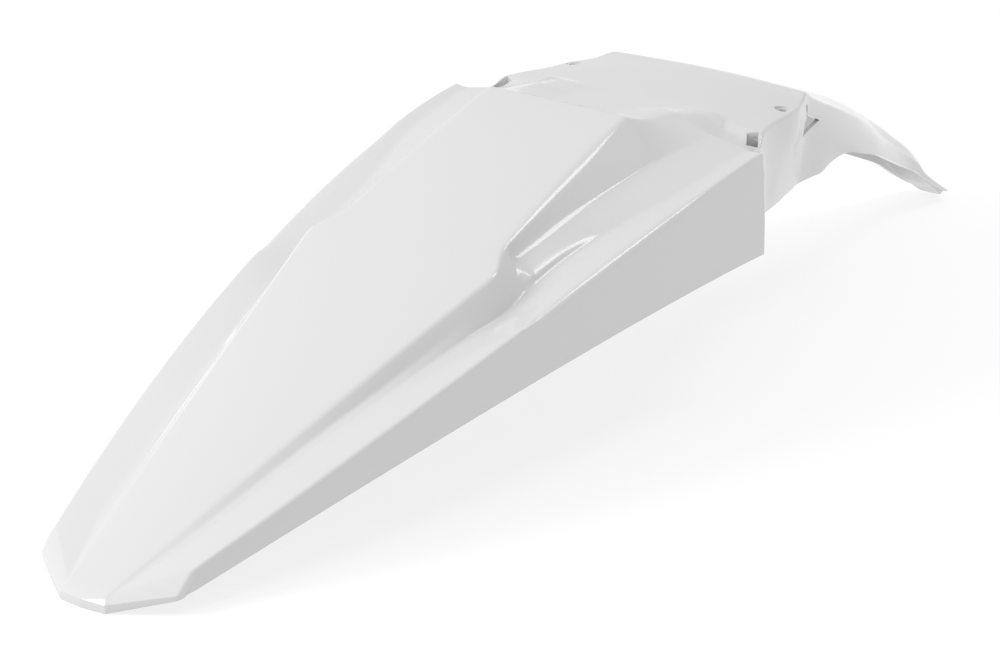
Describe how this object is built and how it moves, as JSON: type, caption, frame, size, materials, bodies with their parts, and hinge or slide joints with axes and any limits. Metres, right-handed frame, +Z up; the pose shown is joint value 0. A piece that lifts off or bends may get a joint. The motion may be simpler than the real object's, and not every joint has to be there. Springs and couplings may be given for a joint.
{
  "type": "motorcycle rear fender",
  "caption": "Motorcycle rear fender: one thin white moulded shell with side scoops, a step, a raised saddle and a narrow front tongue.",
  "frame": {"origin": "centre of the bounding box at floor level", "axes": "+X to the rider's right, +Y forward from the tail tip to the tongue, +Z up"},
  "size_m": [0.236, 0.864, 0.1765],
  "materials": {
    "shell": "gloss"
  },
  "bodies": {
    "root": {"rear_fender": "shell"}
  },
  "joints": []
}
